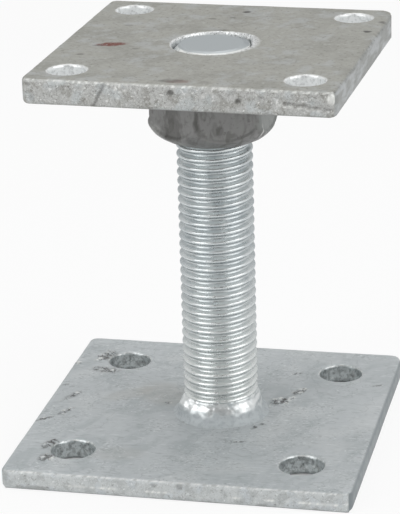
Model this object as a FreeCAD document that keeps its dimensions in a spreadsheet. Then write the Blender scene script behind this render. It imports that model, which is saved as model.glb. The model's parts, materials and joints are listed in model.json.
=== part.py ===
import FreeCAD, Part
import math
import os

import Sketcher

# Driving sizes in millimetres and degrees: name, value, meaning
SIZES = (
    ("base_side", 110.0, "side of the square base plate"),
    ("base_thickness", 6.5, "base plate thickness with its zinc"),
    ("base_corner", 2.5, "base plate corner radius in plan"),
    ("anchor_spacing", 73.0, "anchor hole spacing, both ways"),
    ("anchor_hole", 14.0, "anchor hole diameter"),
    ("head_side", 95.0, "side of the square head plate"),
    ("head_thickness", 8.0, "head plate thickness with its zinc"),
    ("head_corner", 3.0, "head plate corner radius in plan"),
    ("screw_spacing", 72.5, "post screw hole spacing, both ways"),
    ("screw_hole", 12.0, "post screw hole diameter"),
    ("edge_break", 0.7, "bevel along the plates' outer edges"),
    ("rim_break", 0.4, "bevel round the hole rims"),
    ("rod_diameter", 24.0, "thread crest diameter of the rod"),
    ("rod_length", 122.8, "rod length above the base plate"),
    ("rod_end_chamfer", 2.0, "chamfer at the rod's free end"),
    ("rod_offset_x", 3.3, "rod axis from the base plate's middle, along X"),
    ("rod_offset_y", 0.6, "rod axis from the base plate's middle, along Y"),
    ("rod_hole_gap", 1.75, "gap round the rod in the head plate's hole"),
    ("weld_leg", 3.0, "weld width on the base plate"),
    ("weld_rise", 8.0, "weld height up the rod"),
    ("weld_swell", 0.5, "how far the weld's face bulges from a straight slope"),
    ("nut_flats", 36.0, "nut size across its flats"),
    ("nut_height", 21.5, "nut height"),
    ("nut_corner", 2.0, "radius of the nut's upright corners"),
    ("nut_bearing", 33.0, "diameter of the nut's flat upper face"),
    ("nut_chamfer_slope", 30.0, "slope of the nut's upper corner chamfers"),
    ("nut_toe", 1.2, "width of the nut's lower rim round its bore"),
    ("nut_dome_height", 10.5, "height of the nut's rounded lower end at its corners"),
    ("nut_bore_gap", 0.3, "gap between the nut's bore and the rod"),
    ("nut_bore_chamfer", 0.8, "chamfer at both ends of the nut's bore"),
    ("nut_lift", 93.5, "nut's underside above the base plate, as set"),
    ("nut_turn", -4.5, "turn of the nut about the rod, as set"),
    ("head_turn", -2.0, "turn of the head plate about the rod, as set"),
    ("head_shift", 1.1, "how far the loose head plate sits off the rod's axis, along X"),
)

HOLE_COUNT = 4
NUT_SIDES = 6
FULL_TURN = 360
CLOSE = 1e-3

doc = FreeCAD.newDocument("adjustable_post_base")
sheet = doc.addObject("Spreadsheet::Sheet", "Sizes")
for row, (alias, value, meaning) in enumerate(SIZES, start=1):
    sheet.set(f"A{row}", meaning)
    sheet.set(f"B{row}", str(value))
    sheet.setAlias(f"B{row}", alias)
doc.recompute()


# Helpers for bodies, sketches and bound sizes

def new_body(name):
    body = doc.addObject("PartDesign::Body", name)
    body.Label = name
    return body


def new_sketch(body, name, role="XY_Plane"):
    sketch = body.newObject("Sketcher::SketchObject", name)
    plane = next(item for item in body.Origin.OriginFeatures if item.Role == role)
    sketch.AttachmentSupport = (plane, [""])
    sketch.MapMode = "FlatFace"
    return sketch


def bind(item, path, expression):
    item.setExpression(path, expression)


def size_constraint(sketch, name, constraint, expression):
    """Add a named dimension to a sketch and tie it to the sheet."""
    index = sketch.addConstraint(constraint)
    sketch.renameConstraint(index, name)
    bind(sketch, f"Constraints.{name}", expression)


def draw_polygon(sketch, points):
    """Closed chain of lines through (x, y) points, joined at their ends."""
    corners = [FreeCAD.Vector(x, y, 0) for x, y in points]
    lines = []
    for start, end in zip(corners, corners[1:] + corners[:1]):
        lines.append(sketch.addGeometry(Part.LineSegment(start, end), False))
    for line, following in zip(lines, lines[1:] + lines[:1]):
        sketch.addConstraint(Sketcher.Constraint("Coincident", line, 2, following, 1))
    return lines


def value_of(alias):
    return float(sheet.get(alias))


def edge_names(shape, wanted):
    """Names of the edges for which wanted(edge) holds."""
    return [f"Edge{number}" for number, edge in enumerate(shape.Edges, start=1) if wanted(edge)]


def is_upright(edge):
    box = edge.BoundBox
    return box.XLength < CLOSE and box.YLength < CLOSE


def is_level(edge):
    return edge.BoundBox.ZLength < CLOSE


def is_hole_rim(edge):
    return is_level(edge) and edge.isClosed()


def is_outline(edge):
    return is_level(edge) and not edge.isClosed()


def add_dressing(body, kind, name, base, edges, property_name, expression):
    """Fillet or chamfer the named edges of a feature, sized from the sheet."""
    dressing = body.newObject(kind, name)
    dressing.Base = (base, edges)
    bind(dressing, property_name, expression)
    doc.recompute()
    return dressing


# Sub-parts

def square_plate(name, side, thickness, corner):
    """Flat square plate centred on the origin, with rounded corners."""
    body = new_body(name)
    sketch = new_sketch(body, f"{name}_outline")
    half = value_of(side) / 2
    lines = draw_polygon(sketch, [(-half, -half), (half, -half), (half, half), (-half, half)])
    for line in (lines[0], lines[2]):
        sketch.addConstraint(Sketcher.Constraint("Horizontal", line))
    for line in (lines[1], lines[3]):
        sketch.addConstraint(Sketcher.Constraint("Vertical", line))
    sketch.addConstraint(Sketcher.Constraint("Symmetric", lines[0], 1, lines[2], 1, -1, 1))
    size_constraint(sketch, "width", Sketcher.Constraint("DistanceX", lines[0], 1, lines[0], 2, 2 * half),
                    f"Sizes.{side}")
    size_constraint(sketch, "depth", Sketcher.Constraint("DistanceY", lines[1], 1, lines[1], 2, 2 * half),
                    f"Sizes.{side}")
    pad = body.newObject("PartDesign::Pad", f"{name}_plate")
    pad.Profile = sketch
    bind(pad, "Length", f"Sizes.{thickness}")
    doc.recompute()
    add_dressing(body, "PartDesign::Fillet", f"{name}_corners", pad, edge_names(pad.Shape, is_upright),
                 "Radius", f"Sizes.{corner}")
    return body


def drill(body, name, diameter, offset=None):
    """Round hole through a body, in its middle or at the same offset along X and Y."""
    before = body.Shape.Volume
    sketch = new_sketch(body, f"{name}_sketch")
    start = FreeCAD.Vector(1, 1, 0) if offset else FreeCAD.Vector(0, 0, 0)
    circle = sketch.addGeometry(Part.Circle(start, FreeCAD.Vector(0, 0, 1), 1), False)
    if offset:
        for axis in ("X", "Y"):
            size_constraint(sketch, f"place_{axis.lower()}",
                            Sketcher.Constraint(f"Distance{axis}", -1, 1, circle, 3, 1.0), offset)
    else:
        sketch.addConstraint(Sketcher.Constraint("Coincident", circle, 3, -1, 1))
    size_constraint(sketch, "bore", Sketcher.Constraint("Diameter", circle, 2.0), diameter)
    pocket = body.newObject("PartDesign::Pocket", name)
    pocket.Profile = sketch
    pocket.Type = "ThroughAll"
    pocket.Reversed = True
    doc.recompute()
    if not pocket.Shape.Volume < before:
        raise RuntimeError(f"{name} cuts nothing")
    return pocket


def repeat_round(body, name, original):
    """Copies of a hole evenly round the plate's middle."""
    pattern = body.newObject("PartDesign::PolarPattern", name)
    pattern.Originals = [original]
    pattern.Axis = (original.Profile[0], ["N_Axis"])
    pattern.Angle = FULL_TURN
    pattern.Occurrences = HOLE_COUNT
    body.Tip = pattern
    doc.recompute()


def soften_edges(body, name):
    """Break the outer edges and the hole rims, as dipped zinc leaves them."""
    sharp = body.Tip
    broken = add_dressing(body, "PartDesign::Chamfer", f"{name}_edges", sharp,
                          edge_names(sharp.Shape, is_outline), "Size", "Sizes.edge_break")
    add_dressing(body, "PartDesign::Chamfer", f"{name}_rims", broken,
                 edge_names(broken.Shape, is_hole_rim), "Size", "Sizes.rim_break")


def base_plate():
    body = square_plate("base_plate", "base_side", "base_thickness", "base_corner")
    hole = drill(body, "anchor_hole", "Sizes.anchor_hole", "Sizes.anchor_spacing / 2")
    repeat_round(body, "anchor_holes", hole)
    soften_edges(body, "base")
    return body


def head_plate():
    body = square_plate("head_plate", "head_side", "head_thickness", "head_corner")
    hole = drill(body, "screw_hole", "Sizes.screw_hole", "Sizes.screw_spacing / 2")
    repeat_round(body, "screw_holes", hole)
    drill(body, "rod_hole", "Sizes.rod_diameter + 2 * Sizes.rod_hole_gap")
    soften_edges(body, "head")
    stand_on_rod(body, "Sizes.nut_lift + Sizes.nut_height", "Sizes.head_shift")
    turn_on_rod(body, "head_turn")
    return body


def stand_on_rod(body, height, shift="0"):
    """Put a body on the rod's axis, or beside it, at a height above the base plate."""
    bind(body, "Placement.Base.x", f"Sizes.rod_offset_x + {shift}")
    bind(body, "Placement.Base.y", "Sizes.rod_offset_y")
    bind(body, "Placement.Base.z", f"Sizes.base_thickness + {height}")


def turn_on_rod(body, angle):
    """Turn a body about the rod's axis by an angle of the sheet."""
    body.Placement.Rotation = FreeCAD.Rotation(FreeCAD.Vector(0, 0, 1), value_of(angle))
    bind(body, "Placement.Rotation.Angle", f"Sizes.{angle} * 1 deg")


def threaded_rod():
    """Rod turned to its crest diameter, with a chamfer at the free end."""
    body = new_body("threaded_rod")
    sketch = new_sketch(body, "rod_profile", "XZ_Plane")
    radius = value_of("rod_diameter") / 2
    length = value_of("rod_length")
    chamfer = value_of("rod_end_chamfer")
    foot, wall, slope, end, axis = draw_polygon(sketch, [
        (0, 0), (radius, 0), (radius, length - chamfer), (radius - chamfer, length), (0, length)])
    sketch.addConstraint(Sketcher.Constraint("Coincident", foot, 1, -1, 1))
    sketch.addConstraint(Sketcher.Constraint("Horizontal", foot))
    sketch.addConstraint(Sketcher.Constraint("Vertical", wall))
    sketch.addConstraint(Sketcher.Constraint("Horizontal", end))
    sketch.addConstraint(Sketcher.Constraint("Vertical", axis))
    size_constraint(sketch, "radius", Sketcher.Constraint("DistanceX", foot, 1, foot, 2, radius),
                    "Sizes.rod_diameter / 2")
    size_constraint(sketch, "length", Sketcher.Constraint("DistanceY", axis, 2, axis, 1, length),
                    "Sizes.rod_length")
    size_constraint(sketch, "chamfer_in", Sketcher.Constraint("DistanceX", slope, 2, slope, 1, chamfer),
                    "Sizes.rod_end_chamfer")
    size_constraint(sketch, "chamfer_down", Sketcher.Constraint("DistanceY", slope, 1, slope, 2, chamfer),
                    "Sizes.rod_end_chamfer")
    turned = body.newObject("PartDesign::Revolution", "rod_turned")
    turned.Profile = sketch
    turned.ReferenceAxis = (sketch, ["V_Axis"])
    turned.Angle = FULL_TURN
    stand_on_rod(body, "0")
    return body


def foot_weld():
    """Fillet weld round the rod's foot, with a slightly full face of two slopes."""
    body = new_body("foot_weld")
    sketch = new_sketch(body, "weld_profile", "XZ_Plane")
    radius = value_of("rod_diameter") / 2
    leg = value_of("weld_leg")
    rise = value_of("weld_rise")
    swell = value_of("weld_swell")
    slant = math.hypot(leg, rise)
    belly_x = radius + leg / 2 + swell * rise / slant
    belly_z = rise / 2 + swell * leg / slant
    bottom, lower_face, upper_face, back = draw_polygon(sketch, [
        (radius, 0), (radius + leg, 0), (belly_x, belly_z), (radius, rise)])
    sketch.addConstraint(Sketcher.Constraint("PointOnObject", bottom, 1, -1))
    sketch.addConstraint(Sketcher.Constraint("Horizontal", bottom))
    sketch.addConstraint(Sketcher.Constraint("Vertical", back))
    size_constraint(sketch, "heel_radius", Sketcher.Constraint("DistanceX", -1, 1, bottom, 1, radius),
                    "Sizes.rod_diameter / 2")
    size_constraint(sketch, "leg", Sketcher.Constraint("DistanceX", bottom, 1, bottom, 2, leg),
                    "Sizes.weld_leg")
    size_constraint(sketch, "rise", Sketcher.Constraint("DistanceY", back, 2, back, 1, rise),
                    "Sizes.weld_rise")
    slant_size = "sqrt(Sizes.weld_leg ^ 2 + Sizes.weld_rise ^ 2)"
    size_constraint(sketch, "belly_out", Sketcher.Constraint("DistanceX", -1, 1, lower_face, 2, belly_x),
                    "Sizes.rod_diameter / 2 + Sizes.weld_leg / 2"
                    f" + Sizes.weld_swell * Sizes.weld_rise / {slant_size}")
    size_constraint(sketch, "belly_up", Sketcher.Constraint("DistanceY", -1, 1, lower_face, 2, belly_z),
                    f"Sizes.weld_rise / 2 + Sizes.weld_swell * Sizes.weld_leg / {slant_size}")
    bead = body.newObject("PartDesign::Revolution", "weld_bead")
    bead.Profile = sketch
    bead.ReferenceAxis = (sketch, ["V_Axis"])
    bead.Angle = FULL_TURN
    stand_on_rod(body, "0")
    return body


def hex_nut():
    """Hexagon with a bowl-shaped lower end, chamfered at its upper end and bored for the rod."""
    body = new_body("hex_nut")
    sketch = new_sketch(body, "nut_outline")
    corner_radius = value_of("nut_flats") / 2 / math.cos(math.pi / NUT_SIDES)
    angles = [math.pi / 2 + 2 * math.pi * side / NUT_SIDES for side in range(NUT_SIDES)]
    sides = draw_polygon(sketch, [(corner_radius * math.cos(a), corner_radius * math.sin(a)) for a in angles])
    upward = FreeCAD.Vector(0, 0, 1)
    circle = sketch.addGeometry(Part.Circle(FreeCAD.Vector(0, 0, 0), upward, corner_radius), True)
    sketch.addConstraint(Sketcher.Constraint("Coincident", circle, 3, -1, 1))
    for side, following in zip(sides, sides[1:]):
        sketch.addConstraint(Sketcher.Constraint("Equal", side, following))
    for side in sides:
        sketch.addConstraint(Sketcher.Constraint("PointOnObject", side, 1, circle))
    sketch.addConstraint(Sketcher.Constraint("PointOnObject", sides[0], 1, -2))
    size_constraint(sketch, "corner_circle", Sketcher.Constraint("Diameter", circle, 2 * corner_radius),
                    f"Sizes.nut_flats / cos(180 deg / {NUT_SIDES})")
    pad = body.newObject("PartDesign::Pad", "nut_blank")
    pad.Profile = sketch
    bind(pad, "Length", "Sizes.nut_height")
    doc.recompute()
    add_dressing(body, "PartDesign::Fillet", "nut_corners", pad, edge_names(pad.Shape, is_upright),
                 "Radius", "Sizes.nut_corner")
    round_lower_end(body)
    chamfer_upper_end(body)
    bore_nut(body)
    stand_on_rod(body, "Sizes.nut_lift")
    turn_on_rod(body, "nut_turn")
    return body


def turn_away(body, name, sketch):
    """Cut a profile round the nut's axis."""
    before = body.Shape.Volume
    cut = body.newObject("PartDesign::Groove", name)
    cut.Profile = sketch
    cut.ReferenceAxis = (sketch, ["V_Axis"])
    cut.Angle = FULL_TURN
    doc.recompute()
    if not cut.Shape.Volume < before:
        raise RuntimeError(f"{name} cuts nothing")


def round_lower_end(body):
    """Round the lower end like a bowl, upright at the corners and narrowing to a rim round the rod."""
    sketch = new_sketch(body, "lower_bowl_profile", "XZ_Plane")
    rim = value_of("rod_diameter") / 2 + value_of("nut_bore_gap") + value_of("nut_toe")
    height = value_of("nut_dome_height")
    shoulder = value_of("nut_flats") / 2 / math.cos(math.pi / NUT_SIDES)
    reach = value_of("nut_flats")
    radius = ((shoulder - rim) ** 2 + height ** 2) / (2 * (shoulder - rim))
    centre = FreeCAD.Vector(shoulder - radius, height, 0)
    half_way = math.atan2(-height, rim - centre.x) / 2
    toe = FreeCAD.Vector(rim, 0, 0)
    brow = FreeCAD.Vector(shoulder, height, 0)
    middle = centre + FreeCAD.Vector(math.cos(half_way), math.sin(half_way), 0) * radius
    below = FreeCAD.Vector(reach, 0, 0)
    beside = FreeCAD.Vector(reach, height, 0)
    floor = sketch.addGeometry(Part.LineSegment(toe, below), False)
    wall = sketch.addGeometry(Part.LineSegment(below, beside), False)
    ledge = sketch.addGeometry(Part.LineSegment(beside, brow), False)
    bowl = sketch.addGeometry(Part.Arc(toe, middle, brow), False)
    sketch.addConstraint(Sketcher.Constraint("Coincident", floor, 2, wall, 1))
    sketch.addConstraint(Sketcher.Constraint("Coincident", wall, 2, ledge, 1))
    sketch.addConstraint(Sketcher.Constraint("Coincident", ledge, 2, bowl, 2))
    sketch.addConstraint(Sketcher.Constraint("Coincident", bowl, 1, floor, 1))
    sketch.addConstraint(Sketcher.Constraint("PointOnObject", floor, 1, -1))
    sketch.addConstraint(Sketcher.Constraint("Horizontal", floor))
    sketch.addConstraint(Sketcher.Constraint("Vertical", wall))
    sketch.addConstraint(Sketcher.Constraint("Horizontal", ledge))
    sketch.addConstraint(Sketcher.Constraint("PointOnObject", bowl, 3, ledge))
    size_constraint(sketch, "rim", Sketcher.Constraint("DistanceX", -1, 1, floor, 1, rim),
                    "Sizes.rod_diameter / 2 + Sizes.nut_bore_gap + Sizes.nut_toe")
    size_constraint(sketch, "reach", Sketcher.Constraint("DistanceX", -1, 1, wall, 1, reach),
                    "Sizes.nut_flats")
    size_constraint(sketch, "shoulder", Sketcher.Constraint("DistanceX", -1, 1, ledge, 2, shoulder),
                    f"Sizes.nut_flats / 2 / cos(180 deg / {NUT_SIDES})")
    size_constraint(sketch, "height", Sketcher.Constraint("DistanceY", wall, 1, wall, 2, height),
                    "Sizes.nut_dome_height")
    turn_away(body, "lower_bowl", sketch)


def chamfer_upper_end(body):
    """Cut the six upper corners back to the bearing face along a shallow cone."""
    sketch = new_sketch(body, "upper_chamfer_profile", "XZ_Plane")
    bearing = value_of("nut_bearing") / 2
    reach = value_of("nut_flats") - bearing
    depth = reach * math.tan(math.radians(value_of("nut_chamfer_slope")))
    top = value_of("nut_height")
    face, wall, slope = draw_polygon(sketch, [
        (bearing, top), (bearing + reach, top), (bearing + reach, top - depth)])
    sketch.addConstraint(Sketcher.Constraint("Horizontal", face))
    sketch.addConstraint(Sketcher.Constraint("Vertical", wall))
    size_constraint(sketch, "bearing", Sketcher.Constraint("DistanceX", -1, 1, face, 1, bearing),
                    "Sizes.nut_bearing / 2")
    size_constraint(sketch, "reach", Sketcher.Constraint("DistanceX", face, 1, face, 2, reach),
                    "Sizes.nut_flats - Sizes.nut_bearing / 2")
    size_constraint(sketch, "depth", Sketcher.Constraint("DistanceY", wall, 2, wall, 1, depth),
                    "(Sizes.nut_flats - Sizes.nut_bearing / 2) * tan(Sizes.nut_chamfer_slope * 1 deg)")
    size_constraint(sketch, "level", Sketcher.Constraint("DistanceY", -1, 1, face, 1, top),
                    "Sizes.nut_height")
    turn_away(body, "upper_chamfer", sketch)


def bore_nut(body):
    """Bore that clears the rod, with a chamfer at both ends."""
    bore = drill(body, "nut_bore", "Sizes.rod_diameter + 2 * Sizes.nut_bore_gap")
    bore_radius = value_of("rod_diameter") / 2 + value_of("nut_bore_gap")

    def is_bore_rim(edge):
        return is_hole_rim(edge) and abs(edge.Curve.Radius - bore_radius) < CLOSE

    add_dressing(body, "PartDesign::Chamfer", "nut_bore_ends", bore,
                 edge_names(bore.Shape, is_bore_rim), "Size", "Sizes.nut_bore_chamfer")


bodies = [base_plate(), threaded_rod(), foot_weld(), head_plate(), hex_nut()]
doc.recompute()

# Check every object before anything is written
for item in doc.Objects:
    if "Invalid" in item.State or "Error" in item.State:
        raise RuntimeError(f"{item.Name} failed: {item.State}")
for body in bodies:
    if body.Shape.isNull() or not body.Shape.isValid():
        raise RuntimeError(f"{body.Label} has no valid solid")

os.makedirs("parts", exist_ok=True)
for body in bodies:
    body.Shape.exportStep(f"parts/{body.Label}.step")
    print(body.Label, len(body.Shape.Solids), round(body.Shape.Volume, 1), body.Shape.BoundBox)
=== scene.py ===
import json
import math

import bmesh
import bpy
import numpy as np
from mathutils import Matrix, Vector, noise


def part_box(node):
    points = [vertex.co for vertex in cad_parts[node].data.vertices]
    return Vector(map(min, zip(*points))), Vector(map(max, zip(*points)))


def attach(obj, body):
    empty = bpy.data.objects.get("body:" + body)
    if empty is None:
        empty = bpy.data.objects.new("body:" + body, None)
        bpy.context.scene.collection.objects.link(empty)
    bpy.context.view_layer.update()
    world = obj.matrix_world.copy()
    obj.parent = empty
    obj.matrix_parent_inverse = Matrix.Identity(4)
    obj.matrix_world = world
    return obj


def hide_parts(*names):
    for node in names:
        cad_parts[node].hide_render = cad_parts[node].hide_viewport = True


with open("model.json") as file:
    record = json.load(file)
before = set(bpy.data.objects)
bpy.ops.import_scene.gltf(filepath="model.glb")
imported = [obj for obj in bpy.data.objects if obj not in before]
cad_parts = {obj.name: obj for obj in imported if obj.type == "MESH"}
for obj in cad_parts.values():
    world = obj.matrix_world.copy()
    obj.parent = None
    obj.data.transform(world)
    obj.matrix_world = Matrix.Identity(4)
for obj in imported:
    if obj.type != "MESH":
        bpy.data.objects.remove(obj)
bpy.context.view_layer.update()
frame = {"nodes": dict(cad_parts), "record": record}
record = frame["record"]

# Shapes are worked out in millimetres and written to the meshes in metres
MM = 0.001
FULL_TURN = 2 * math.pi


def box_mm(node):
    """Lowest and highest corner of a CAD node in millimetres."""
    low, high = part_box(node)
    return np.array(low) / MM, np.array(high) / MM


def read_points(mesh):
    """Points of a mesh in millimetres."""
    flat = np.empty(len(mesh.vertices) * 3)
    mesh.vertices.foreach_get("co", flat)
    return flat.reshape(-1, 3) / MM


# Sizes and places read from the frame, in millimetres
openings = {row["name"]: np.mean(row["box_m"], axis=0)[:2] / MM for row in record["physics"]["openings"]}
mounts = {row["name"]: row["dims"] for row in record["mounts"]}
anchor_radius = mounts["anchor_holes"]["hole_r_mm"]
screw_radius = mounts["post_screw_holes"]["hole_r_mm"]
anchor_middles = [middle for name, middle in openings.items() if name.startswith("anchor")]
screw_middles = [middle for name, middle in openings.items() if name.startswith("screw")]
pitch = FULL_TURN / record["behaviour"]["couplings"][0]["ratio"] / MM
base_half, _, base_top = box_mm("base_plate")[1]
nut_foot = box_mm("hex_nut")[0][2]
head_low, head_high = box_mm("head_plate")
rod_low, rod_high = box_mm("threaded_rod")
weld_low, weld_high = box_mm("foot_weld")
rod_axis = (rod_low[:2] + rod_high[:2]) / 2
rod_place = Matrix.Translation((rod_axis[0] * MM, rod_axis[1] * MM, 0))
rod_radius = (rod_high[0] - rod_low[0]) / 2
weld_radius = (weld_high[0] - weld_low[0]) / 2
rod_points = read_points(frame["nodes"]["threaded_rod"].data)
rod_end_points = rod_points[rod_points[:, 2] > rod_high[2] - 0.01]
rod_end_radius = np.hypot(*(rod_end_points[:, :2] - rod_axis).T).max()
head_middle = np.mean(screw_middles, axis=0)
head_points = read_points(frame["nodes"]["head_plate"].data)
middle_radius = np.hypot(*(head_points[:, :2] - head_middle).T).min()
front_holes = openings["screw_hole_front_right"] - openings["screw_hole_front_left"]
head_turn = math.atan2(front_holes[1], front_holes[0])
# A square turned by a small angle reaches this much further along X than its half side
head_half = (head_high[0] - head_low[0]) / 2 / (math.cos(head_turn) + abs(math.sin(head_turn)))

# Dense meshes of the plates and the nut: width of the grid and rounds of softening
GRIDS = {"base_plate": (0.6, 3), "head_plate": (0.5, 2), "hex_nut": (0.36, 8)}
# Points of a plate that lie this close outside a hole's radius belong to the hole
HOLE_MARGIN = 1.2
# Plate corners with a larger radius: the radius, 1 for right or -1 for left, 1 for back or -1 for front
BASE_CORNERS = ((6.5, 1, 1), (4.4, 1, -1), (2.4, -1, -1))
HEAD_CORNERS = ((7.0, 1, 1), (5.0, -1, 1))

# Oval marks on a face: middle along it, middle across it, half length, half width, turn, strength
HEAD_RUST = (
    (-31.2, -6.6, 4.8, 2.2, 20.0, 1.0),
    (0.0, -43.6, 3.6, 1.7, 4.0, 0.40),
)
HEAD_SPECKS = (
    (-37.6, -19.3, 1.3, 1.0, 10.0, 0.55),
    (-35.0, -8.4, 1.8, 0.8, 20.0, 0.55),
    (0.8, 38.3, 1.4, 1.2, 50.0, 1.0),
    (43.5, 20.0, 1.4, 1.1, -40.0, 1.0),
    (46.2, 31.7, 1.4, 1.0, -40.0, 0.65),
    (-2.0, 14.9, 2.6, 0.5, 3.0, 0.60),
    (-22.4, -10.4, 1.2, 1.0, 0.0, 0.40),
    (-8.1, 28.3, 1.2, 0.9, 0.0, 0.50),
    (-1.8, 30.6, 1.3, 0.7, 0.0, 0.45),
    (-32.5, 16.2, 1.4, 1.0, 0.0, 0.35),
    (-2.6, -43.4, 3.6, 1.7, 4.0, 0.45),
    (8.0, -43.6, 2.0, 1.4, 0.0, 0.25),
)
BASE_WARM = (
    (-18.0, 10.0, 11.0, 8.0, -45.0, 0.40),
    (-30.0, 8.0, 9.0, 4.0, 40.0, 0.30),
    (-22.0, -38.0, 9.0, 5.0, 10.0, 0.25),
)
# The same on the plates' front edges, along them and up from their undersides
HEAD_FRONT_PITS = (
    (-1.4, 5.6, 1.1, 0.9, 0.0, 1.0),
    (18.8, 4.1, 0.9, 0.8, 0.0, 0.95),
    (25.6, 5.6, 1.0, 0.8, 0.0, 0.35),
    (-45.0, 6.4, 0.9, 0.8, 0.0, 0.45),
    (-43.8, 2.4, 0.8, 1.4, 0.0, 0.30),
)
# Painted glints on the head plate's front edge
HEAD_FRONT_GLINTS = (
    (-17.0, 6.2, 4.2, 1.0, 0.0, 0.55),
    (37.0, 6.6, 1.6, 0.6, 0.0, 0.75),
    (9.6, 5.0, 1.6, 0.8, -20.0, 0.50),
    (30.0, 4.6, 2.0, 0.8, -20.0, 0.50),
)
# Dark specks on the base plate's front edge; the mark at its left end is painted shade
BASE_FRONT_DARK = (
    (-44.4, 0.9, 6.0, 0.9, 0.0, 0.35),
    (-53.6, 4.6, 1.4, 1.8, 0.0, 0.30),
    (11.0, 0.5, 3.0, 0.5, 0.0, 0.40),
    (27.8, 0.5, 3.0, 0.5, 0.0, 0.40),
    (2.0, 5.2, 1.2, 0.9, 0.0, 0.40),
    (-6.0, 5.0, 0.9, 0.9, 0.0, 0.40),
    (45.0, 0.5, 2.0, 0.5, 0.0, 0.35),
)
# Ridge on the base plate's front edge: share of the plate's height, half width
RIDGE_SHARE, RIDGE_HALF_WIDTH = 0.41, 0.4
# Stretches along the edge over which its left run starts and ends and its right run starts
LEFT_RUN_START, LEFT_RUN_END, RIGHT_RUN_START = (-36, -30), (-5, 0), (16, 20)
# Ends of two lines on the head plate's front edge, and the middle and radius of a round blob there
HEAD_SCRATCH = ((-21.3, 7.4), (-24.8, 0.5))
HEAD_FOLD = ((31.5, 4.4), (46.4, 2.7))
HEAD_BLOB = (46.3, 5.7, 1.6)
# Crust in the head plate's middle hole: bearing of its middle and how far it spreads, in radians
HEAD_CRUST = (0.25, 0.85)

# Marks on the nut: bearing in degrees, height above its lower end, then as above
NUT_DARK = (
    (-122.0, 6.8, 13.0, 6.0, 0.0, 0.50),
    (-92.8, 9.5, 1.7, 4.2, 0.0, 0.60),
    (-72.0, 7.0, 4.0, 1.6, 0.0, 0.40),
)
# Painted highlights on the nut, in the same columns as its dark marks
NUT_HIGHLIGHTS = (
    (-27.8, 4.6, 1.0, 2.2, 0.0, 0.45),
    (-146.0, 3.4, 9.0, 2.6, 0.0, 0.15),
)

# Dross on the base plate's top and runs beside the weld: ovals with a height in place of the strength
BASE_DROSS = (
    (-44.8, 38.4, 3.2, 4.8, -20.0, 0.50),
    (-42.6, 26.6, 4.8, 2.4, -10.0, 0.22),
    (-44.4, -34.6, 2.4, 4.2, -20.0, 0.50),
    (-43.0, -44.8, 3.2, 2.2, 50.0, 0.40),
    (-48.0, 3.6, 4.6, 1.4, 65.0, 0.15),
    (-46.8, -9.2, 3.4, 1.2, 60.0, 0.12),
    (-53.6, 30.8, 1.6, 1.0, 50.0, 0.30),
    (-52.6, 12.7, 1.4, 0.8, 40.0, 0.12),
    (-52.0, -15.6, 3.0, 1.0, 40.0, 0.15),
    (21.4, 9.8, 4.2, 2.4, 42.0, 0.60),
    (25.6, 18.0, 3.6, 1.6, 62.0, 0.25),
    (18.7, -8.9, 0.9, 0.8, 10.0, 0.50),
    (16.8, -11.7, 0.9, 0.8, -10.0, 0.40),
    (13.0, -23.4, 3.4, 0.7, 10.0, 0.10),
    (50.4, 27.6, 1.6, 0.8, 30.0, 0.12),
    (22.2, 33.4, 1.8, 0.7, 30.0, 0.12),
    (-13.6, 11.0, 0.8, 0.7, 0.0, 0.45),
)
WELD_RUNS = (
    (-3.0, -11.6, 3.6, 0.9, -14.0, 0.30),
    (-15.0, 3.0, 1.2, 0.9, 20.0, 0.20),
)
# Lumps and hollows of the weld: bearing, height above the plate, half width in degrees, half height, depth
WELD_LUMPS = (
    (-146.0, 4.2, 14.0, 3.0, 1.3),
    (-124.0, 3.2, 9.0, 2.2, 0.5),
    (-79.0, 4.4, 15.0, 4.0, -0.50),
)
# The weld's section, from inside the thread over the crown to the toe, as shares of its width and height
WELD_SECTION = np.array([
    (-1.2, 0.98), (-0.5, 0.99), (-0.10, 0.97), (0.02, 0.90), (0.10, 0.79), (0.20, 0.66),
    (0.32, 0.53), (0.46, 0.38), (0.62, 0.24), (0.82, 0.11), (1.06, 0.03), (1.28, -0.05),
    (0.4, -0.06), (-1.2, -0.06),
])
# Bearing at which the weld's crown starts to climb with the thread, as a share of a turn
CROWN_START = 0.36
# Share of a turn by which the thread's crests lie below those of a thread that starts at the rod's foot
THREAD_START = 0.27
# Fuller side of the rod's sawn end: bearing of its middle and how far it spreads, in radians
FULLER_BEARING, FULLER_SPREAD = 0.3, 0.8

# Half width of the white floor and the depths of the two floors below the object's foot, in metres
FLOOR_HALF, FLOOR_DEPTH, SHADED_DEPTH = 4.0, 0.0002, 0.0001
# Share of the floor's own white over its shaded surface
FLOOR_GLOW = 0.9
# Soft lamps: name, azimuth, elevation, distance, width and height in metres, power in watts
LAMPS = (
    ("left_softbox", -40, 26, 1.0, 0.8, 1.0, 5.2),
    ("right_softbox", 67, 26, 1.0, 0.9, 1.0, 4.8),
    ("top_softbox", 180, 84, 1.3, 1.1, 1.1, 5.0),
)


# Meshes as arrays

def read_normals(mesh):
    flat = np.empty(len(mesh.vertices) * 3)
    mesh.vertex_normals.foreach_get("vector", flat)
    return flat.reshape(-1, 3)


def write_points(mesh, points):
    mesh.vertices.foreach_set("co", (points * MM).ravel())
    mesh.update()


def paint(mesh, **marks):
    """Store how much of each mark the points carry, for the materials to read."""
    for name, amounts in marks.items():
        layer = mesh.attributes.new(name, "FLOAT", "POINT")
        layer.data.foreach_set("value", np.clip(amounts, 0, 1).astype(np.float32))


def swells(points, size, seed):
    """Smooth random field of about -1 to 1, with swells of about the given size."""
    shifted = points / size + np.array([seed * 17.3, seed * 5.9, seed * 11.7])
    return np.array([noise.noise(place) for place in shifted.tolist()])


def uneven(points, *fields):
    """Sum of random fields, each given by its height, the size of its swells and its seed."""
    return sum(height * swells(points, size, seed) for height, size, seed in fields)


def rise_between(values, low, high):
    """0 below low, 1 above high, and a smooth rise between them."""
    share = np.clip((values - low) / (high - low), 0, 1)
    return share * share * (3 - 2 * share)


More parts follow.
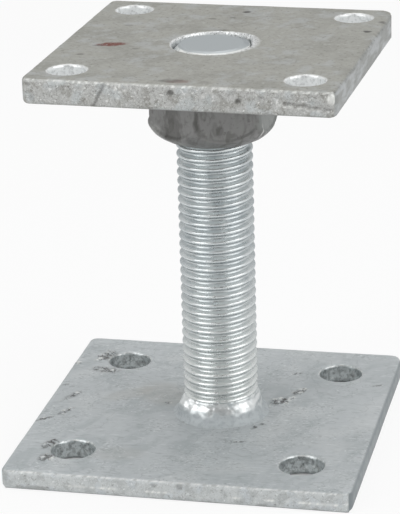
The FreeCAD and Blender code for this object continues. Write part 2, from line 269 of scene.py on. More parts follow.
def bell(values, middle, half_width):
    """1 at the middle value, with a smooth fall to both sides of it."""
    return np.exp(-((values - middle) / half_width) ** 2)


def oval(along, across, mark, ragged=0.0):
    """1 inside an oval mark, fading to 0 at its rim, which a random field may fray."""
    middle_along, middle_across, half_length, half_width, turn = mark[:5]
    cosine, sine = math.cos(math.radians(turn)), math.sin(math.radians(turn))
    ahead = (along - middle_along) * cosine + (across - middle_across) * sine
    aside = (across - middle_across) * cosine - (along - middle_along) * sine
    return rise_between(1.25 - np.hypot(ahead / half_length, aside / half_width) + ragged, 0, 0.6)


def covered(along, across, marks, ragged=0.0):
    """Sum of oval marks, each at its own strength."""
    return sum(mark[5] * oval(along, across, mark, ragged) for mark in marks)


def line_gap(along, across, ends):
    """Distance from a line on a face, and how far each point lies below it."""
    start, end = np.array(ends[0]), np.array(ends[1])
    run = end - start
    length = np.hypot(*run)
    share = np.clip(((along - start[0]) * run[0] + (across - start[1]) * run[1]) / length ** 2, 0, 1)
    gap = np.hypot(along - start[0] - share * run[0], across - start[1] - share * run[1])
    below = ((along - start[0]) * run[1] - (across - start[1]) * run[0]) / length
    return gap, below


def round_axis(radius, angle, height):
    """Points at a radius, bearing and height round an upright axis."""
    return np.stack([radius * np.cos(angle), radius * np.sin(angle), height], axis=-1)


def thread_phase(height, angle):
    """Turns of the thread up to a height at a bearing; a whole number is a crest."""
    return (height - rod_low[2]) / pitch - angle / FULL_TURN + THREAD_START


def fine_copy(node, place):
    """Dense even mesh of a CAD solid in its own axes, with its sharp edges softened."""
    voxel, rounds = GRIDS[node]
    mesh = frame["nodes"][node].data.copy()
    mesh.transform(place.inverted())
    work = bpy.data.objects.new(f"{node}_work", mesh)
    bpy.context.scene.collection.objects.link(work)
    grid = work.modifiers.new("grid", "REMESH")
    grid.mode = "VOXEL"
    grid.voxel_size = voxel * MM
    grid.use_smooth_shade = True
    soft = work.modifiers.new("soft", "SMOOTH")
    soft.factor = 0.5
    soft.iterations = rounds
    shaped = work.evaluated_get(bpy.context.evaluated_depsgraph_get())
    fine = bpy.data.meshes.new_from_object(shaped)
    bpy.data.objects.remove(work)
    bpy.data.meshes.remove(mesh)
    fine.name = f"{node}_fine"
    return fine


def grid_mesh(name, rows, wrap_shift=0, closed_rows=False):
    """Mesh from rows of points round an axis, each row closed on itself."""
    count, around = rows.shape[:2]
    index = np.arange(count * around).reshape(count, around)
    faces = []
    last = count if closed_rows else count - 1
    for row in range(last):
        for column in range(around):
            following = column + 1
            lift = 0
            if following == around:
                following = 0
                lift = wrap_shift
            lower, upper = row, (row + 1) % count
            if upper + lift >= count:
                continue
            faces.append((index[lower, column], index[lower + lift, following],
                          index[upper + lift, following], index[upper, column]))
    mesh = bpy.data.meshes.new(name)
    mesh.from_pydata((rows.reshape(-1, 3) * MM).tolist(), [], faces)
    return mesh


def close_ends(mesh):
    """Merge the clamped rows and close both ends with a flat face inside a narrow ring."""
    work = bmesh.new()
    work.from_mesh(mesh)
    bmesh.ops.remove_doubles(work, verts=work.verts, dist=0.002 * MM)
    bmesh.ops.dissolve_degenerate(work, edges=work.edges, dist=0.0005 * MM)
    loose = [vertex for vertex in work.verts if not vertex.link_faces]
    bmesh.ops.delete(work, geom=loose, context="VERTS")
    rims = [edge for edge in work.edges if edge.is_boundary]
    caps = bmesh.ops.holes_fill(work, edges=rims)["faces"]
    bmesh.ops.recalc_face_normals(work, faces=work.faces)
    bmesh.ops.inset_individual(work, faces=caps, thickness=0.25 * MM)
    work.to_mesh(mesh)
    work.free()


def add_piece(name, mesh, node, body, material):
    """Put a finished mesh in the scene in place of a CAD node."""
    piece = bpy.data.objects.new(name, mesh)
    bpy.context.scene.collection.objects.link(piece)
    mesh.materials.clear()
    mesh.materials.append(material)
    mesh.shade_smooth()
    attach(piece, body)
    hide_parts(node)


# Materials

def shade(red, green, blue):
    """Colour from 0 to 255 screen values, as the linear value that a socket takes."""
    screen = np.array([red, green, blue]) / 255
    linear = np.where(screen <= 0.04045, screen / 12.92, ((screen + 0.055) / 1.055) ** 2.4)
    return (*linear, 1.0)


class Finish:
    """One material's node tree, with short calls for the nodes that the finishes share."""

    def __init__(self, name):
        self.material = bpy.data.materials.new(name)
        self.material.use_nodes = True
        self.tree = self.material.node_tree
        self.shader = self.tree.nodes["Principled BSDF"]
        self.place = self.add("ShaderNodeTexCoord").outputs["Object"]

    def add(self, kind, **settings):
        made = self.tree.nodes.new(kind)
        for key, value in settings.items():
            setattr(made, key, value)
        return made

    def feed(self, socket, value):
        if isinstance(value, bpy.types.NodeSocket):
            self.tree.links.new(value, socket)
        else:
            socket.default_value = value

    def grain(self, size, detail=2.0, longer=None, turn=0.0, twist=0.0):
        """Random grains of a size in millimetres, about 0.3 to 0.7, drawn out along turned axes."""
        made = self.add("ShaderNodeTexNoise")
        place = self.place
        if longer:
            mapping = self.add("ShaderNodeMapping", vector_type="TEXTURE")
            self.feed(mapping.inputs["Vector"], place)
            mapping.inputs["Rotation"].default_value = (0, 0, math.radians(turn))
            mapping.inputs["Scale"].default_value = longer
            place = mapping.outputs["Vector"]
        self.feed(made.inputs["Vector"], place)
        made.inputs["Scale"].default_value = 1 / (size * MM)
        made.inputs["Detail"].default_value = detail
        made.inputs["Distortion"].default_value = twist
        return made.outputs["Fac"]

    def rise(self, value, low, high, most=1.0, least=0.0):
        """The least value below low, the most above high, and a smooth rise between them."""
        made = self.add("ShaderNodeMapRange", interpolation_type="SMOOTHSTEP")
        self.feed(made.inputs["Value"], value)
        made.inputs["From Min"].default_value = low
        made.inputs["From Max"].default_value = high
        made.inputs["To Min"].default_value = least
        made.inputs["To Max"].default_value = most
        return made.outputs["Result"]

    def curls(self, size, width, most):
        """Thin winding lines, along which a random grain passes its middle value."""
        offset = self.add("ShaderNodeMath", operation="SUBTRACT")
        self.feed(offset.inputs[0], self.grain(size, 3.0))
        offset.inputs[1].default_value = 0.5
        distance = self.add("ShaderNodeMath", operation="ABSOLUTE")
        self.feed(distance.inputs[0], offset.outputs["Value"])
        return self.rise(distance.outputs["Value"], 0.0, width, 0.0, most)

    def times(self, first, second):
        made = self.add("ShaderNodeMath", operation="MULTIPLY")
        self.feed(made.inputs[0], first)
        self.feed(made.inputs[1], second)
        return made.outputs["Value"]

    def painted(self, name):
        return self.add("ShaderNodeAttribute", attribute_name=name).outputs["Fac"]

    def over(self, colour, tint, share):
        """Lay a tint over a colour by a share from 0 to 1."""
        made = self.add("ShaderNodeMix", data_type="RGBA")
        self.feed(made.inputs[0], share)
        self.feed(made.inputs[6], colour)
        self.feed(made.inputs[7], tint)
        return made.outputs[2]

    def mottled(self, colour, tint, size, detail, low, high, most=1.0, **drawn_out):
        """Lay a tint over a colour where random grains rise between two values."""
        patches = self.rise(self.grain(size, detail, **drawn_out), low, high, most)
        return self.over(colour, shade(*tint), patches)

    def veined(self, colour, tint, size, width, most):
        """Lay a tint over a colour in thin winding lines."""
        return self.over(colour, shade(*tint), self.curls(size, width, most))

    def instead(self, number, other, share):
        """Go from one number to another by a share from 0 to 1."""
        made = self.add("ShaderNodeMix", data_type="FLOAT")
        self.feed(made.inputs[0], share)
        self.feed(made.inputs[2], number)
        self.feed(made.inputs[3], other)
        return made.outputs[0]

    def bump(self, height, strength, depth):
        made = self.add("ShaderNodeBump")
        self.feed(made.inputs["Height"], height)
        made.inputs["Strength"].default_value = strength
        made.inputs["Distance"].default_value = depth * MM
        self.feed(self.shader.inputs["Normal"], made.outputs["Normal"])

    def done(self, colour, roughness, metallic):
        self.feed(self.shader.inputs["Base Color"], colour)
        self.feed(self.shader.inputs["Roughness"], roughness)
        self.feed(self.shader.inputs["Metallic"], metallic)
        return self.material


def marked(finish, colour):
    """Lay the painted rust, dark and bright marks over a colour; the bright marks carry painted highlights
    and glints, and the dark marks some painted shade.
    """
    fray = finish.rise(finish.grain(0.8, 2.0), 0.26, 0.46)
    colour = finish.over(colour, shade(108, 56, 46), finish.times(finish.painted("rust"), fray))
    colour = finish.over(colour, shade(78, 77, 74), finish.painted("dark"))
    return finish.over(colour, shade(240, 241, 238), finish.painted("bright"))


def dull_plate():
    """Dull warm grey zinc of the head plate, paler and mottled on its edges, and mottled and painted near
    white in its holes as painted light.
    """
    finish = Finish("dull_zinc_plate")
    colour = finish.mottled(shade(157, 157, 151), (147, 147, 141), 14.0, 3.0, 0.45, 0.62)
    colour = finish.mottled(colour, (166, 168, 167), 6.0, 4.0, 0.50, 0.68, 0.8)
    colour = finish.mottled(colour, (124, 124, 117), 1.2, 4.0, 0.54, 0.72, 0.75)
    colour = finish.mottled(colour, (176, 177, 173), 1.7, 4.0, 0.56, 0.74, 0.6)
    colour = finish.veined(colour, (130, 130, 124), 5.0, 0.012, 0.30)
    side = shade(147, 149, 147)
    side = finish.mottled(side, (172, 175, 176), 2.2, 3.0, 0.42, 0.62, longer=(1.0, 5.0, 1.0))
    side = finish.mottled(side, (124, 124, 120), 0.8, 3.0, 0.60, 0.74, 0.6, longer=(1.0, 4.0, 1.0))
    colour = finish.over(colour, side, finish.painted("side"))
    edge = finish.mottled(shade(182, 183, 181), (161, 161, 157), 3.0, 5.0, 0.46, 0.62)
    edge = finish.mottled(edge, (186, 191, 192), 5.0, 3.0, 0.50, 0.64, 0.75)
    edge = finish.veined(edge, (116, 115, 110), 2.2, 0.022, 0.60)
    edge = finish.veined(edge, (122, 121, 116), 1.2, 0.032, 0.50)
    edge = finish.veined(edge, (220, 222, 220), 1.5, 0.024, 0.50)
    edge = finish.mottled(edge, (112, 110, 105), 0.8, 4.0, 0.60, 0.74, 0.6)
    edge = finish.mottled(edge, (232, 233, 231), 0.9, 3.0, 0.60, 0.72, 0.7)
    colour = finish.over(colour, edge, finish.painted("edge"))
    # Hole walls painted near white, far paler than the plate's zinc: painted light; the crust keeps its own
    # dark grains
    wall = finish.mottled(shade(242, 244, 244), (218, 220, 220), 0.9, 2.0, 0.48, 0.66)
    rough_wall = finish.times(finish.painted("crust"), finish.rise(finish.grain(0.7, 3.0), 0.54, 0.64, 0.7))
    wall = finish.over(wall, shade(138, 140, 140), rough_wall)
    in_hole = finish.painted("wall")
    colour = finish.over(colour, wall, in_hole)
    finish.bump(finish.grain(0.7, 3.0), 0.3, 0.10)
    roughness = finish.rise(finish.grain(2.0, 3.0), 0.3, 0.7, 0.64, 0.50)
    roughness = finish.instead(roughness, 0.36, in_hole)
    return finish.done(marked(finish, colour), roughness, finish.instead(0.42, 0.60, in_hole))


def bright_plate():
    """Brighter bluish zinc of the base plate, with soft flow streaks, mottled edges, and sides painted darker
    as painted shade.
    """
    finish = Finish("bright_zinc_plate")
    clouds = finish.grain(9.0, 4.0, (1.8, 1.0, 1.0), 60.0, 1.0)
    colour = finish.over(shade(184, 189, 191), shade(172, 178, 180), finish.rise(clouds, 0.42, 0.66))
    colour = finish.mottled(colour, (194, 198, 199), 16.0, 4.0, 0.52, 0.70, 0.7)
    colour = finish.over(colour, shade(168, 168, 163), finish.painted("warm"))
    colour = finish.veined(colour, (150, 156, 158), 18.0, 0.008, 0.45)
    colour = finish.veined(colour, (156, 162, 164), 7.0, 0.007, 0.35)
    streaks = (4.0, 1.0, 1.0)
    colour = finish.mottled(colour, (150, 156, 158), 0.9, 3.0, 0.56, 0.72, 0.55, longer=streaks)
    colour = finish.mottled(colour, (208, 212, 213), 1.0, 3.0, 0.58, 0.74, 0.55, longer=streaks, turn=4.0)
    patches = finish.rise(finish.grain(11.0, 3.0), 0.44, 0.58)
    specks = finish.rise(finish.grain(0.7, 3.0, (1.6, 1.0, 1.0)), 0.55, 0.68, 0.6)
    colour = finish.over(colour, shade(136, 142, 144), finish.times(patches, specks))
    flecks = finish.rise(finish.grain(0.8, 3.0, (1.5, 1.0, 1.0), 30.0), 0.57, 0.70, 0.6)
    colour = finish.over(colour, shade(216, 220, 220), finish.times(patches, flecks))
    crack = finish.times(finish.painted("dross"), finish.curls(1.8, 0.08, 1.0))
    colour = finish.over(colour, shade(74, 76, 76), crack)
    # The plate's sides are painted darker than its top: painted shade
    colour = finish.over(colour, shade(128, 135, 138), finish.painted("side"))
    edge = finish.mottled(shade(196, 200, 200), (180, 184, 184), 3.2, 5.0, 0.46, 0.62)
    edge = finish.mottled(edge, (196, 202, 205), 5.0, 3.0, 0.50, 0.64, 0.75)
    edge = finish.veined(edge, (140, 141, 139), 2.0, 0.020, 0.50)
    edge = finish.veined(edge, (224, 227, 226), 1.3, 0.024, 0.45)
    edge = finish.mottled(edge, (120, 121, 120), 0.9, 4.0, 0.60, 0.74, 0.65)
    edge = finish.mottled(edge, (238, 240, 240), 1.1, 3.0, 0.61, 0.74, 0.65)
    colour = finish.over(colour, edge, finish.painted("edge"))
    wall = finish.mottled(shade(210, 216, 217), (172, 178, 179), 1.1, 3.0, 0.46, 0.62)
    wall = finish.mottled(wall, (116, 119, 119), 1.0, 3.0, 0.56, 0.70, 0.55)
    wall = finish.mottled(wall, (240, 243, 243), 1.2, 3.0, 0.58, 0.70, 0.6)
    in_hole = finish.painted("wall")
    colour = finish.over(colour, wall, in_hole)
    finish.bump(finish.grain(0.8, 3.0), 0.2, 0.08)
    roughness = finish.rise(finish.grain(3.0, 3.0), 0.3, 0.7, 0.54, 0.42)
    roughness = finish.instead(roughness, 0.34, in_hole)
    return finish.done(marked(finish, colour), roughness, finish.instead(0.30, 0.75, in_hole))


def dull_nut():
    """Dull zinc of the nut with soft upright runs; its colour is darkened as painted shade under the head
    plate, and its right-facing faces are painted paler as painted light.
    """
    finish = Finish("dull_zinc_nut")
    runs = finish.grain(2.4, 3.0, (1.0, 1.0, 2.2), 0.0, 1.0)
    # The nut's zinc is given darker colours than the head plate's: painted shade under the plate
    colour = finish.over(shade(129, 129, 128), shade(113, 113, 111), finish.rise(runs, 0.48, 0.68))
    colour = finish.mottled(colour, (130, 132, 129), 5.0, 4.0, 0.52, 0.70, 0.8)
    colour = finish.mottled(colour, (88, 88, 86), 1.1, 4.0, 0.58, 0.76, 0.6)
    colour = finish.mottled(colour, (142, 142, 138), 1.2, 4.0, 0.60, 0.78, 0.5)
    # Faces turned to the right are painted paler, as painted light
    colour = finish.over(colour, shade(133, 136, 134), finish.painted("pale"))
    finish.bump(finish.grain(0.8, 3.0), 0.2, 0.08)
    roughness = finish.rise(runs, 0.3, 0.7, 0.56, 0.42)
    return finish.done(marked(finish, colour), roughness, 0.5)


def bright_thread():
    """Smooth bright zinc of the rod, painted paler towards the foot as a painted reflection of the plate,
    with painted shade in the thread's roots, a painted highlight round the bevel, and a plain sawn end.
    """
    finish = Finish("bright_zinc_thread")
    colour = finish.mottled(shade(217, 222, 223), (205, 211, 213), 5.0, 4.0, 0.44, 0.62)
    # Paler towards the foot: a painted reflection of the plate below
    colour = finish.over(colour, shade(240, 243, 241), finish.painted("foot"))
    colour = finish.mottled(colour, (140, 146, 148), 1.1, 3.0, 0.64, 0.78, 0.5)
    colour = finish.mottled(colour, (226, 229, 227), 1.3, 3.0, 0.64, 0.78, 0.6)
    # Darker in the thread's roots: painted shade
    colour = finish.over(colour, shade(150, 157, 159), finish.painted("root"))
    sawn = finish.painted("end")
    colour = finish.over(colour, shade(186, 191, 193), sawn)
    finish.bump(finish.grain(0.9, 2.0), 0.15, 0.06)
    roughness = finish.rise(finish.grain(1.8, 3.0), 0.3, 0.7, 0.38, 0.24)
    roughness = finish.instead(roughness, 0.5, sawn)
    finish.shader.inputs["Specular Tint"].default_value = (0.5, 0.52, 0.53, 1)
    # Where the painted highlight lies round the bevel, the zinc turns matt so that it shows bright
    metallic = finish.instead(0.80, 0.20, finish.painted("bright"))
    return finish.done(marked(finish, colour), roughness, metallic)


def bright_weld():
    """Bright smooth zinc that ran down over the weld, duller at its toe."""
    finish = Finish("bright_zinc_weld")
    colour = finish.mottled(shade(228, 231, 231), (208, 213, 214), 3.0, 4.0, 0.45, 0.64)
    colour = finish.mottled(colour, (140, 145, 147), 1.0, 3.0, 0.64, 0.80, 0.6)
    toe = finish.painted("toe")
    runs = finish.mottled(shade(182, 188, 190), (170, 176, 179), 1.4, 4.0, 0.46, 0.62)
    colour = finish.over(colour, runs, toe)
    finish.bump(finish.grain(1.0, 3.0), 0.2, 0.10)
    roughness = finish.rise(finish.grain(2.0, 3.0), 0.3, 0.7, 0.44, 0.28)
    return finish.done(colour, finish.instead(roughness, 0.60, toe), finish.instead(0.75, 0.28, toe))


# Pieces

def plate_masks(points, normals, holes):
    """Shares of each point on a level face, a sheared edge, a rolled side, a hole's wall and an upper rim."""
    level = rise_between(np.abs(normals[:, 2]), 0.55, 0.9)
    near = np.zeros(len(points), bool)
    for middle, radius in holes:
        near |= np.hypot(points[:, 0] - middle[0], points[:, 1] - middle[1]) < radius + HOLE_MARGIN
    outer, wall = np.where(near, 0, 1 - level), np.where(near, 1 - level, 0)
    sideways = rise_between(np.abs(normals[:, 0]) - np.abs(normals[:, 1]), -0.3, 0.3)
    rim = rise_between(normals[:, 2], 0.3, 0.55) * (1 - rise_between(normals[:, 2], 0.8, 0.95))
    return level, outer * (1 - sideways), outer * sideways, wall, rim


def round_corner(points, half, radius, side, end):
    """Pull a corner of a square plate in to a larger radius; side 1 is right, end 1 is back."""
    out_x = side * points[:, 0] - (half - radius)
    out_y = end * points[:, 1] - (half - radius)
    reach = np.hypot(out_x, out_y)
    inside = (out_x > 0) & (out_y > 0) & (reach > radius)
    pull = radius / np.maximum(reach, radius)
    points[:, 0] = np.where(inside, side * (half - radius + out_x * pull), points[:, 0])
    points[:, 1] = np.where(inside, end * (half - radius + out_y * pull), points[:, 1])


def base_plate():
    """Base plate with sheared edges, a dashed ridge on the front one, and lumps of dross on top."""
    mesh = fine_copy("base_plate", Matrix.Identity(4))
    points, normals = read_points(mesh), read_normals(mesh)
    holes = [(middle, anchor_radius) for middle in anchor_middles]
    level, edge, side, wall, rim = plate_masks(points, normals, holes)
    along, across, up = points.T
    top = level * (normals[:, 2] > 0)
    front = edge * (normals[:, 1] < -0.5)
    grit = swells(points, 1.3, 1)
    lift = uneven(points, (0.05, 20.0, 2), (0.03, 8.0, 3), (0.008, 2.8, 4))
    lift += edge * (0.15 + uneven(points, (0.10, 3.5, 5), (0.05, 1.5, 6)))
    lift += wall * (0.08 * swells(points, 2.4, 7) + 0.03 * grit)
    dross, dark, bright = np.zeros((3, len(points)))
    for mark in BASE_DROSS + WELD_RUNS:
        height = mark[5]
        heavy = min(height / 0.4, 1)
        cover = top * oval(along, across, mark, 0.5 * grit)
        lift += cover * height * (0.75 + 0.9 * grit)
        dross += cover
        dark += cover * rise_between(-grit, -0.1, 0.3) * (0.15 + 0.7 * heavy)
        bright += cover * rise_between(grit, 0.3, 0.5) * 0.6
    warm = top * covered(along, across, BASE_WARM)
    # Dashed ridge that the shear left along the front edge, in two runs
    dashes = rise_between(swells(points * np.array([1, 0, 0]), 2.2, 8), -0.15, 0.15)
    left_run = rise_between(along, *LEFT_RUN_START) * (1 - rise_between(along, *LEFT_RUN_END))
    right_run = rise_between(along, *RIGHT_RUN_START)
    ridge = bell(up, RIDGE_SHARE * base_top, RIDGE_HALF_WIDTH) * dashes
    ridge *= 0.15 + 0.85 * np.maximum(left_run, right_run)
    lift += edge * 0.15 * ridge
    # Painted glints on the ridge, and painted highlights along the upper rims of the front edge and of the
    # holes
    sparkle = rise_between(swells(points, 0.9, 9), 0.0, 0.35)
    bright += edge * ridge * (0.4 + 0.8 * sparkle)
    bright += rim * edge * (0.30 + 0.6 * sparkle)
    bright += rim * wall * (0.25 + 0.6 * sparkle)
    nicks = rise_between(swells(points, 1.5, 10), 0.10, 0.32) * rim * edge
    dark += 0.6 * nicks
    lift -= 0.2 * nicks
    dark += front * covered(along, up, BASE_FRONT_DARK, 0.5 * grit)
    dark += 0.35 * wall * rise_between(swells(points, 1.7, 11), 0.1, 0.4)
    for corner in BASE_CORNERS:
        round_corner(points, base_half, *corner)
    write_points(mesh, points + normals * lift[:, None])
    paint(mesh, edge=edge, side=side, wall=wall, warm=warm, dross=dross, dark=dark, bright=bright)
    add_piece("base_plate_zinc", mesh, "base_plate", "base", bright_plate())


def head_plate():
    """Head plate with mottled edges, rust, pits and a scratch, and crust in its middle hole."""
    place = Matrix.Translation((head_middle[0] * MM, head_middle[1] * MM, head_low[2] * MM))
    place = place @ Matrix.Rotation(head_turn, 4, "Z")
    mesh = fine_copy("head_plate", place)
    points, normals = read_points(mesh), read_normals(mesh)
    cosine, sine = math.cos(head_turn), math.sin(head_turn)
    holes = [(np.zeros(2), middle_radius)]
    for offset in np.array(screw_middles) - head_middle:
        middle = (offset[0] * cosine + offset[1] * sine, offset[1] * cosine - offset[0] * sine)
        holes.append((middle, screw_radius))
    level, edge, side, wall, rim = plate_masks(points, normals, holes)
    along, across, up = points.T
    top = level * (normals[:, 2] > 0)
    front = edge * (normals[:, 1] < -0.5)
    grit = swells(points, 1.2, 21)
    lift = uneven(points, (0.05, 18.0, 22), (0.03, 6.0, 23), (0.010, 2.2, 24))
    lift += edge * (0.20 + uneven(points, (0.12, 3.6, 25), (0.07, 1.4, 26)))
    lift += wall * (0.15 + 0.10 * swells(points, 2.2, 27) + 0.05 * grit)
    rust = top * covered(along, across, HEAD_RUST, 0.35 * grit)
    specks = top * covered(along, across, HEAD_SPECKS, 0.4 * grit)
    pits = front * covered(along, up, HEAD_FRONT_PITS)
    sparkle = rise_between(swells(points, 0.9, 28), -0.05, 0.30)
    nicks = rise_between(swells(points, 1.6, 29), 0.05, 0.35) * rim * side
    scratch = front * bell(line_gap(along, up, HEAD_SCRATCH)[0], 0, 0.6)
    dark = specks + 0.8 * pits + 0.5 * nicks + 0.55 * scratch
    lift -= 0.08 * specks + 0.4 * pits + 0.25 * nicks + 0.35 * scratch
    # Painted highlight along the upper rim, brighter from the left end to just past the middle
    bright = rim * edge * np.where(along < 6, 0.15 + 0.8 * sparkle, 0.7 * sparkle)
    # Painted glints on the front edge
    bright += front * sparkle * covered(along, up, HEAD_FRONT_GLINTS, 0.6 * grit)
    # Fold on the front edge, raised below its line, with painted shade along the line and a painted highlight
    # on its raised side
    gap, below = line_gap(along, up, HEAD_FOLD)
    lift += front * np.where(below > 0, 0.30, -0.10) * bell(gap, 0, 0.8)
    dark += front * 0.5 * bell(gap, 0, 0.3)
    bright += front * 0.5 * sparkle * (below > 0) * bell(gap, 0.9, 0.5)
    reach = np.hypot(along - HEAD_BLOB[0], up - HEAD_BLOB[1]) / HEAD_BLOB[2]
    blob = front * np.sqrt(np.clip(1 - reach ** 2, 0, 1))
    lift += 0.9 * blob
    bright += rise_between(blob, 0.1, 0.5) * (0.55 + 0.4 * rise_between(grit, -0.2, 0.2))
    # Lumpy zinc that narrows the middle hole on the side where the rod stands off its wall
    middle_wall = wall * (np.hypot(along, across) < middle_radius + HOLE_MARGIN)
    crust = middle_wall * rise_between(up, 1.5, 4.5) * bell(np.arctan2(across, along), *HEAD_CRUST)
    lift += crust * np.clip(2.0 + 0.9 * grit, 0, 2.4)
    for corner in HEAD_CORNERS:
        round_corner(points, head_half, *corner)
    write_points(mesh, points + normals * lift[:, None])
    paint(mesh, edge=edge, side=side, wall=wall, crust=middle_wall, rust=rust, dark=dark, bright=bright)
    mesh.transform(place)
    add_piece("head_plate_zinc", mesh, "head_plate", "head", dull_plate())


def hex_nut():
    """Nut with soft upright runs of zinc and a fuller bowl at its lower end; its bore stays as it is."""
    mesh = fine_copy("hex_nut", rod_place)
    points, normals = read_points(mesh), read_normals(mesh)
    outside = rise_between(np.hypot(points[:, 0], points[:, 1]), rod_radius + 1.0, rod_radius + 2.5)
    lift = 0.06 * swells(points * np.array([1, 1, 0.3]), 3.0, 41)
    lift += uneven(points, (0.06, 6.0, 42), (0.02, 1.3, 43))
    bowl = rise_between(-normals[:, 2], 0.1, 0.5) * (1 - rise_between(-normals[:, 2], 0.85, 0.98))
    lift += bowl * (0.7 + 0.5 * rise_between(-normals[:, 0], 0.3, 0.7))
    bearing = np.degrees(np.arctan2(points[:, 1], points[:, 0]))
    up = points[:, 2] - nut_foot
    grit = swells(points * np.array([1, 1, 0.6]), 1.3, 44)
    dark = outside * covered(bearing, up, NUT_DARK, 0.8 * grit)
    # Painted highlights on the nut's faces
    bright = outside * covered(bearing, up, NUT_HIGHLIGHTS)
    # Faces turned to the right are painted paler: painted light
    pale = outside * rise_between(normals[:, 0], 0.70, 0.85)
    write_points(mesh, points + normals * (lift * outside)[:, None])
    paint(mesh, dark=dark, bright=bright, pale=pale)
    mesh.transform(rod_place)
    add_piece("hex_nut_zinc", mesh, "hex_nut", "nut", dull_nut())


def threaded_rod():
    """Rod with its helical thread, drawn as rows that follow the helix."""
    around, rows_a_turn = 104, 20
    root_radius, crest_radius, steepest = 0.21 * pitch, 0.21 * pitch, math.radians(60)
    bottom, top = rod_low[2], rod_high[2]
    turns = int((top - bottom) / pitch) + 3
    angle = FULL_TURN * np.arange(around) / around
    row = np.arange(turns * rows_a_turn + 1)
    height = bottom - pitch + pitch * (row[:, None] / rows_a_turn + angle / FULL_TURN)
    height = np.clip(height, bottom, top)
    phase = thread_phase(height, angle)
    # Height above the root: a narrow round root, then a straight flank, then a round crest
    aside = pitch / 2 - np.abs(phase - np.round(phase)) * pitch
    root_end, crest_start = root_radius * math.sin(steepest), pitch / 2 - crest_radius * math.sin(steepest)
    root_part = np.minimum(aside, root_end)
    flank_part = np.clip(aside, root_end, crest_start) - root_end
    crest_part = np.minimum(pitch / 2 - aside, pitch / 2 - crest_start)
    above = math.tan(steepest) * flank_part - np.sqrt(root_radius ** 2 - root_part ** 2)
    above += np.sqrt(crest_radius ** 2 - crest_part ** 2)
    thread_depth = np.ptp(above)
    radius = rod_radius - above.max() + above
    flat = round_axis(radius, angle, height).reshape(-1, 3)
    radius = radius + uneven(flat, (0.05, 5.0, 61), (0.025, 1.6, 62)).reshape(radius.shape)
    # Sawn end: a bevel all round, rougher and fuller on the side away from the hole's wall
    turned = np.mod(angle - FULLER_BEARING + math.pi, FULL_TURN) - math.pi
    fuller = bell(turned, 0, FULLER_SPREAD)
    rough = 0.6 * swells(flat, 1.2, 63).reshape(radius.shape)
    clogged = fuller * rise_between(height, top - 3.2, top - 2.2)
    radius += clogged * (rod_radius - 0.15 - radius)
    bevel = rod_end_radius + (top - height) + fuller * (top - height > 0.2) * (1.2 + rough)
    radius = np.minimum(radius, bevel)
    mesh = grid_mesh("thread", round_axis(radius, angle, height), wrap_shift=rows_a_turn)
    close_ends(mesh)
    points = read_points(mesh)
    up = points[:, 2]
    depth = rod_radius - np.hypot(points[:, 0], points[:, 1])
    # Painted reflection of the plate, paler towards the rod's foot
    foot = 0.8 * (1 - rise_between(up, base_top, 0.55 * top))
    # Painted shade in the thread's roots
    root = 0.3 * rise_between(depth, 0.4 * thread_depth, 0.9 * thread_depth)
    end = rise_between(up, top - 0.6, top - 0.35)
    # Painted highlight round the bevel below the sawn end
    rim = rise_between(up, top - 1.5, top - 1.0) * (1 - end)
    bright = rim * (0.6 + 0.4 * rise_between(swells(points, 3.0, 64), -0.2, 0.4))
    paint(mesh, foot=foot, root=root, end=end, bright=bright)
    mesh.transform(rod_place)
    add_piece("threaded_rod_zinc", mesh, "threaded_rod", "base", bright_thread())


def foot_weld():
    """Closed ring of weld and runny zinc round the rod's foot."""
    around, along_section = 260, 88
    angle = FULL_TURN * np.arange(around) / around
    rise = weld_high[2] - base_top
    leg = weld_radius - rod_radius
    share = np.linspace(0, len(WELD_SECTION) - 1, along_section)
    steps = np.arange(len(WELD_SECTION))
    out = np.interp(share, steps, WELD_SECTION[:, 0])
    up = np.interp(share, steps, WELD_SECTION[:, 1])
    for _ in range(3):
        out[1:-1] = (out[:-2] + 2 * out[1:-1] + out[2:]) / 4
        up[1:-1] = (up[:-2] + 2 * up[1:-1] + up[2:]) / 4
    ring = round_axis(rod_radius, angle, np.zeros(around))
    # The crown follows the third crest of the thread and drops back by one pitch behind the rod
    climb = np.mod(angle / FULL_TURN - CROWN_START, 1)
    crest = pitch * (2 + CROWN_START - THREAD_START + climb - rise_between(climb, 0.72, 1.0))
    crown = (crest + 0.15 * swells(ring, 2.5, 82)) / rise
    toe = 1 + 0.22 * swells(ring, 8.0, 83)
    radius = rod_radius + np.where(out[:, None] > 0, out[:, None] * toe, out[:, None]) * leg
    height = base_top + rise * up[:, None] * np.where(up[:, None] > 0, crown, 1)
    shape = round_axis(radius, angle, height)
    flat = shape.reshape(-1, 3)
    lumps = uneven(flat, (0.20, 3.6, 84), (0.12, 1.6, 85), (0.05, 0.8, 86)).reshape(height.shape)
    # Faint turns of the thread still show through the upper part
    turns = np.cos(FULL_TURN * thread_phase(height, angle))
    lumps += 0.10 * turns * rise_between(height - base_top, 2.0, 6.0)
    bearing = np.degrees(np.mod(angle + math.pi, FULL_TURN) - math.pi)
    for aim, middle, half_width, half_height, depth in WELD_LUMPS:
        lumps += depth * bell(bearing, aim, half_width) * bell(height - base_top, middle, half_height)
    exposed = rise_between(up, 0.0, 0.15) * (out > -0.2)
    outward = round_axis(1.0, angle, np.full(around, 0.6))
    shape += (exposed[:, None] * lumps)[:, :, None] * outward
    mesh = grid_mesh("weld", shape[::-1], closed_rows=True)
    points = read_points(mesh)
    ragged = points[:, 2] - base_top + 1.3 * swells(points, 2.4, 87)
    paint(mesh, toe=1 - rise_between(ragged, 2.6, 4.0))
    mesh.transform(rod_place)
    add_piece("foot_weld_zinc", mesh, "foot_weld", "base", bright_weld())


# Stage, light and camera

